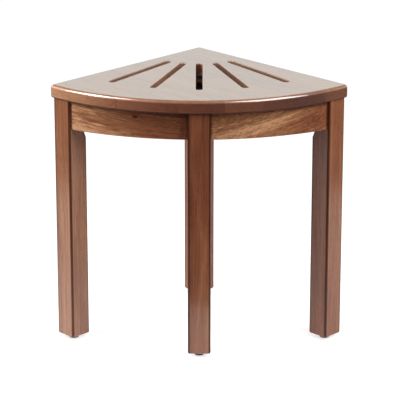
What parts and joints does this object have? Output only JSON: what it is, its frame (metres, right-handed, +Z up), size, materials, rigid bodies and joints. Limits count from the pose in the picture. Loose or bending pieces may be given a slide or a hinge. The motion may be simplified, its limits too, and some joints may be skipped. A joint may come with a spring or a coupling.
{
  "type": "corner shower stool",
  "caption": "Quarter-round wooden corner stool for a shower: slotted seat, curved aprons and square legs on screw-in levelling feet.",
  "frame": {"origin": "on the floor, under the middle of the seat's bounding box", "axes": "+Z up, +Y towards the square back corner that goes into the room corner, the seat's arc towards -Y, X from side leg to side leg"},
  "size_m": [0.5136, 0.3646, 0.47],
  "materials": {
    "seat_wood": "satin lacquer over red-brown hardwood",
    "apron_wood": "satin lacquer over streaky red-brown hardwood",
    "leg_wood": "satin lacquer over red-brown hardwood",
    "block_wood": "sawn hardwood, unlacquered",
    "zinc_steel": "black zinc plate",
    "screw_steel": "yellow passivated zinc plate",
    "insert_brass": "turned",
    "black_plastic": "moulded, fine grain"
  },
  "bodies": {
    "stool": {"seat_panel": "seat_wood", "front_left_apron": "apron_wood", "front_right_apron": "apron_wood", "back_left_rail": "apron_wood", "back_right_rail": "apron_wood", "left_leg": "leg_wood", "right_leg": "leg_wood", "back_leg": "leg_wood", "front_leg": "leg_wood", "left_corner_block": "block_wood", "right_corner_block": "block_wood", "back_corner_block": "block_wood", "front_brace_block": "block_wood", "hanger_bolts": "zinc_steel", "hanger_washers": "zinc_steel", "hanger_nuts": "zinc_steel", "block_screws": "screw_steel", "seat_screws": "screw_steel", "left_foot_insert": "insert_brass", "right_foot_insert": "insert_brass", "back_foot_insert": "insert_brass", "front_foot_insert": "insert_brass"},
    "left_stem": {"left_foot_stem": "zinc_steel"},
    "left_pad": {"left_foot_pad": "black_plastic"},
    "right_stem": {"right_foot_stem": "zinc_steel"},
    "right_pad": {"right_foot_pad": "black_plastic"},
    "back_stem": {"back_foot_stem": "zinc_steel"},
    "back_pad": {"back_foot_pad": "black_plastic"},
    "front_stem": {"front_foot_stem": "zinc_steel"},
    "front_pad": {"front_foot_pad": "black_plastic"}
  },
  "joints": [
    {"name": "left_foot_travel", "type": "slide", "parent": "stool", "child": "left_stem", "axis": [0, 0, -1], "range_m": [0, 0.01]},
    {"name": "left_foot_turn", "type": "hinge", "parent": "left_stem", "child": "left_pad", "pos_m": [-0.22486, -0.07456, 0], "axis": [0, 0, -1], "range_deg": [0, 2880]},
    {"name": "right_foot_travel", "type": "slide", "parent": "stool", "child": "right_stem", "axis": [0, 0, -1], "range_m": [0, 0.01]},
    {"name": "right_foot_turn", "type": "hinge", "parent": "right_stem", "child": "right_pad", "pos_m": [0.22486, -0.07456, 0], "axis": [0, 0, -1], "range_deg": [0, 2880]},
    {"name": "back_foot_travel", "type": "slide", "parent": "stool", "child": "back_stem", "axis": [0, 0, -1], "range_m": [0, 0.01]},
    {"name": "back_foot_turn", "type": "hinge", "parent": "back_stem", "child": "back_pad", "pos_m": [0, 0.1503, 0], "axis": [0, 0, -1], "range_deg": [0, 2880]},
    {"name": "front_foot_travel", "type": "slide", "parent": "stool", "child": "front_stem", "axis": [0, 0, -1], "range_m": [0, 0.01]},
    {"name": "front_foot_turn", "type": "hinge", "parent": "front_stem", "child": "front_pad", "pos_m": [0, -0.15634, 0], "axis": [0, 0, -1], "range_deg": [0, 2880]}
  ],
  "couplings": [
    {"joint": "left_foot_turn", "follows": "left_foot_travel", "rad_per_m": 5026.5},
    {"joint": "right_foot_turn", "follows": "right_foot_travel", "rad_per_m": 5026.5},
    {"joint": "back_foot_turn", "follows": "back_foot_travel", "rad_per_m": 5026.5},
    {"joint": "front_foot_turn", "follows": "front_foot_travel", "rad_per_m": 5026.5}
  ]
}
